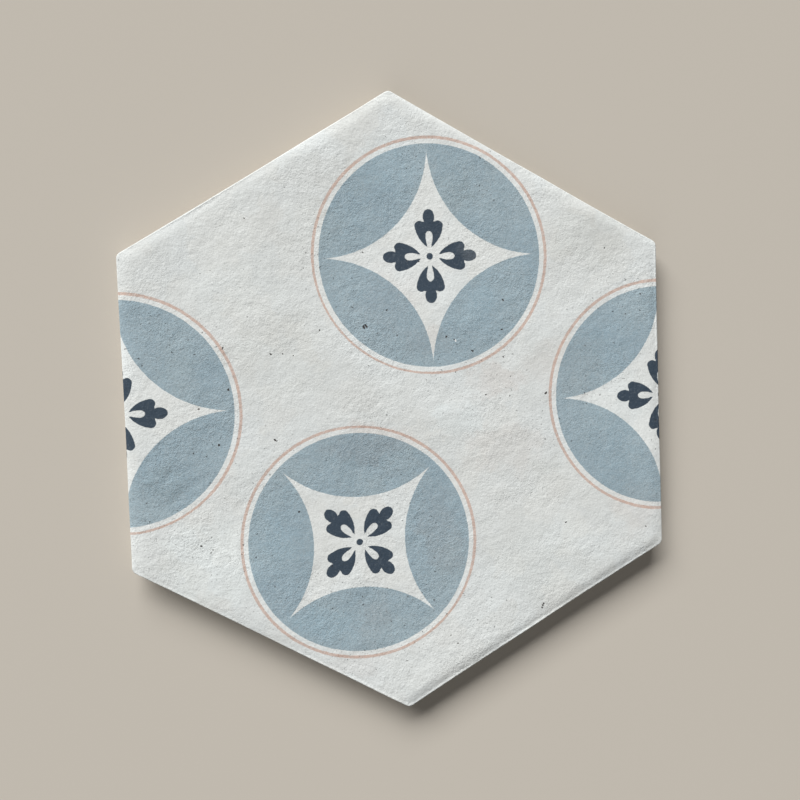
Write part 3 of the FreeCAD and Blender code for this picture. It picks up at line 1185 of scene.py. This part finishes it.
def glaze_flaws(surface, blue):
    """Where specks and pinholes are, and where the ink has flaked off."""
    tree, flat = surface.tree, surface.flat
    # Their outlines stray a little from round ones.
    strayed = flat + surface.fray * (1.6, 1.6, 0.0)
    edge = None
    for x, y, radius in SPECKS:
        speck_edge = strayed.away_from((x, y, 0.0)) - radius
        edge = speck_edge if edge is None else edge.least(speck_edge)
    large = edge.spread(*SPECK_FADE)
    x, y, radius = INK_CHIP
    chip = (strayed.away_from((x, y, 0.0)) - radius).spread(*SPECK_FADE)
    # Small specks and fine pinholes crowd in some places, and they show a little more in the blue ink.
    crowd = tree.noise(flat, 0.03, 2.0, 0.5, surface.seed + 11.0).spread(0.4, 0.62, 0.15, 1.0)
    crowd = crowd.most(blots_cover(surface.drift, PITTED))
    small = speckle(tree, strayed, spacing=6.0, chance=0.6, low=0.1, high=0.34, seed=1.0)
    fine = speckle(tree, strayed, spacing=1.8, chance=0.7, low=0.08, high=0.21, seed=2.0)
    small = small * crowd * (0.65 + blue * 0.1)
    fine = fine * crowd * (0.36 + blue * 0.1)
    return large.most(small).most(fine), chip


def glaze_cover(surface, finish):
    """1 where the glaze reaches, down to its uneven border on the joint face, whose top lies about a
    millimetre below the wearing face."""
    stray = surface.tree.noise(surface.where, 0.35, 3.0, 0.6, surface.seed + 14.0) - 0.5
    height = surface.where.part("Z") + stray * (finish.border_wander / MM)
    border = (HIGHEST.z - 1.0 * MM - finish.overspill) / MM
    return height.spread(border - 0.15, border + 0.15)


def printed_face(finish, layout, flower, relief, grain):
    """The glazed and printed wearing face, which runs out over the top of the joint face."""
    material, tree = new_material("printed_face")
    surface = Surface(tree, grain, relief.seed)
    blue, pink, navy, distance = ink_covers(surface, layout, flower)
    grain_height, grit_height = fine_relief(surface, relief)
    tone = printed_colour(surface, (blue, pink, navy), distance, grain_height, finish, layout, grain)
    # Painted highlight along the rim and painted shade on the steep edge.
    tone = tone * edge_light_and_shade(surface, finish)
    flaws, chip = glaze_flaws(surface, blue)
    tone = chip.pick(tone, rgba(finish.chip))
    tone = (flaws * finish.speck_cover).pick(tone, rgba(finish.speck))
    glaze = glaze_cover(surface, finish)
    base = glaze.pick(body_colour(tree, surface.where, finish, relief.seed), tone)
    # The blue ink is rougher than the glaze, and the specks are pits.
    height = grain_height * (1.0 + blue * relief.ink_grain) + grit_height * (1.0 + blue * relief.ink_grit)
    height = height - flaws * (relief.pit_depth / MM)
    roughness = glaze.pick(finish.body_roughness, finish.face_roughness)
    roughness = roughness + (surface.grains - 0.5) * finish.roughness_range
    close_material(tree, base, roughness, height)
    return material


def body_colour(tree, where, finish, seed):
    """Colour of the bare fired body: fine grains in two tones, with small iron specks."""
    grains = tree.noise(where, 1.1, 4.0, 0.7, seed + 30.0)
    cloud = tree.noise(where, 0.06, 3.0, 0.5, seed + 33.0)
    tone = (grains * 0.6 + cloud * 0.4).spread(0.36, 0.62).pick(rgba(finish.body_shade), rgba(finish.body))
    specks = tree.noise(where, 1.7, 1.0, 0.5, seed + 36.0).spread(0.7, 0.76, 0.0, 0.6)
    return specks.pick(tone, rgba(finish.speck))


def bare_body(finish, back, seed):
    """The unglazed foot and back: bare body, with powdery kiln wash on the rim and ribs."""
    material, tree = new_material("bare_body")
    where = in_millimetres(tree)
    body = body_colour(tree, where, finish, seed)
    dusting = tree.noise(where, 0.12, 5.0, 0.65, seed + 40.0)
    on_rib = where.part("Z").spread(0.04, 0.2, 1.0, 0.0)
    wash = on_rib * dusting.spread(0.34, 0.58, 0.15, 0.9)
    base = wash.pick(body, rgba(finish.wash))
    fine = tree.noise(where, 0.9, 4.0, 0.7, seed + 43.0)
    grit = tree.noise(where, 2.2, 2.0, 0.6, seed + 46.0)
    height = (fine - 0.5) * (back.grain_height / MM) + grit.spread(0.62, 0.75) * (back.grit_height / MM)
    close_material(tree, base, finish.body_roughness + (fine - 0.5) * 0.1, height)
    return material


class TILE_OT_fired_tile(bpy.types.Operator):
    """Makes the whole tile: the pressed and fired body with its printed face, as one closed mesh"""

    bl_idname = "tile.fired_tile"
    bl_label = "Make the fired tile"

    def execute(self, context):
        scene = context.scene
        shape, back, relief, finish = scene.tile_shape, scene.tile_back, scene.tile_relief, scene.tile_finish
        glaze = printed_face(finish, scene.tile_print, scene.tile_flower, relief, scene.tile_grain)
        body = bare_body(finish, back, relief.seed)
        spots, pitch = pocket_spots(shape, back)
        face = pressed_face(shape)
        dented(face, shape)
        uneven(face, relief, glaze)
        parts = (
            (face, 0), (bare_sides(shape), 1), (sole(shape, back, spots, pitch), 1),
            (honeycomb(back, spots, pitch, body), 1),
        )
        tile = joined("fired_hexagon_tile", parts, (glaze, body))
        unfold(tile, shape)
        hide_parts(NODE)
        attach(tile, BODY)
        return {"FINISHED"}


def panel(name, azimuth, elevation, distance, share, width, height):
    """A flat lamp that faces the tile's middle and gives a level white face there that share of light."""
    flat = math.cos(elevation)
    direction = Vector((flat * math.cos(azimuth), flat * math.sin(azimuth), math.sin(elevation)))
    data = bpy.data.lights.new(name, "AREA")
    data.shape = "RECTANGLE"
    data.size = width
    data.size_y = height
    data.energy = math.pi ** 2 * share * distance ** 2 / direction.z
    made = placed(name, data)
    made.rotation_mode = "QUATERNION"
    made.rotation_quaternion = (-direction).to_track_quat("-Z", "Y")
    made.location = direction * distance
    made.visible_camera = False


def light_world(look):
    """Even light from all round, behind a plain backdrop that only the camera and reflections see."""
    world = bpy.data.worlds.new("studio")
    bpy.context.scene.world = world
    world.use_nodes = True
    tree = Tree(world.node_tree)
    path = tree.node("ShaderNodeLightPath", {}, {}, "Is Camera Ray")
    rays = path.socket.node.outputs
    seen = path.most(Wire(tree, rays["Is Glossy Ray"])).most(Wire(tree, rays["Is Transmission Ray"]))
    share = look.sky_share
    tone = seen.pick((share, share, share, 1.0), rgba(look.backdrop))
    background = tree.node("ShaderNodeBackground", {}, {"Color": tone, "Strength": 1.0})
    tree.node("ShaderNodeOutputWorld", {}, {"Surface": background})


def pale_floor(look):
    """A plain round floor under the tile."""
    material, tree = new_material("floor")
    shader = tree.node(
        "ShaderNodeBsdfPrincipled", {},
        {"Base Color": rgba(look.floor), "Roughness": 1.0, "Specular IOR Level": 0.0},
    )
    tree.node("ShaderNodeOutputMaterial", {}, {"Surface": shader})
    disc = bmesh.new()
    bmesh.ops.create_circle(disc, cap_ends=True, segments=96, radius=look.floor_radius)
    mesh = bpy.data.meshes.new("floor")
    disc.to_mesh(mesh)
    disc.free()
    mesh.transform(Matrix.Translation((0.0, 0.0, LOWEST.z)))
    mesh.materials.append(material)
    floor = placed("floor", mesh)


def photo_camera(look):
    """A camera with the photograph's place, direction and angle of view."""
    data = bpy.data.cameras.new("camera")
    data.sensor_width = 36.0
    data.lens = look.camera_lens
    data.clip_start = 0.01
    data.clip_end = 20.0
    forward = Vector(look.camera_forward).normalized()
    right = Vector(look.camera_right)
    right = (right - forward * right.dot(forward)).normalized()
    up = right.cross(forward)
    made = placed("camera", data)
    turn = Matrix((right, up, -forward)).transposed().to_4x4()
    made.matrix_world = Matrix.Translation(look.camera_place) @ turn
    bpy.context.scene.camera = made


class TILE_OT_stage(bpy.types.Operator):
    """Sets up the pale floor, the soft light and the camera"""

    bl_idname = "tile.stage"
    bl_label = "Set the stage"

    def execute(self, context):
        look = context.scene.tile_stage
        pale_floor(look)
        light_world(look)
        panel(
            "key", look.key_azimuth, look.key_elevation, look.key_distance, look.key_share,
            2.0 * look.key_distance * math.tan(look.key_width / 2.0),
            2.0 * look.key_distance * math.tan(look.key_height / 2.0),
        )
        panel(
            "fill", look.fill_azimuth, look.fill_elevation, look.fill_distance, look.fill_share,
            look.fill_size, look.fill_size,
        )
        photo_camera(look)
        context.scene.view_settings.view_transform = "Standard"
        return {"FINISHED"}


class TILE_PT_sidebar(bpy.types.Panel):
    """Sizes and colours of the tile, and the steps that make it"""

    bl_idname = "TILE_PT_sidebar"
    bl_label = "Hexagon floor tile"
    bl_space_type = "VIEW_3D"
    bl_region_type = "UI"
    bl_category = "Tile"

    def draw(self, context):
        for name, group in SETTINGS.items():
            box = self.layout.box()
            box.label(text=group.__doc__)
            for setting in group.__annotations__:
                box.prop(getattr(context.scene, name), setting)
        for operator in OPERATORS:
            self.layout.operator(operator.bl_idname)


OPERATORS = (TILE_OT_fired_tile, TILE_OT_stage)
CLASSES = (*SETTINGS.values(), *OPERATORS, TILE_PT_sidebar)


def register():
    for made in CLASSES:
        bpy.utils.register_class(made)
    for name, group in SETTINGS.items():
        setattr(bpy.types.Scene, name, PointerProperty(type=group))


def unregister():
    for name in SETTINGS:
        delattr(bpy.types.Scene, name)
    for made in reversed(CLASSES):
        bpy.utils.unregister_class(made)


def main():
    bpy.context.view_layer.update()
    register()
    bpy.ops.tile.fired_tile()
    bpy.ops.tile.stage()


if __name__ == "__main__":
    main()
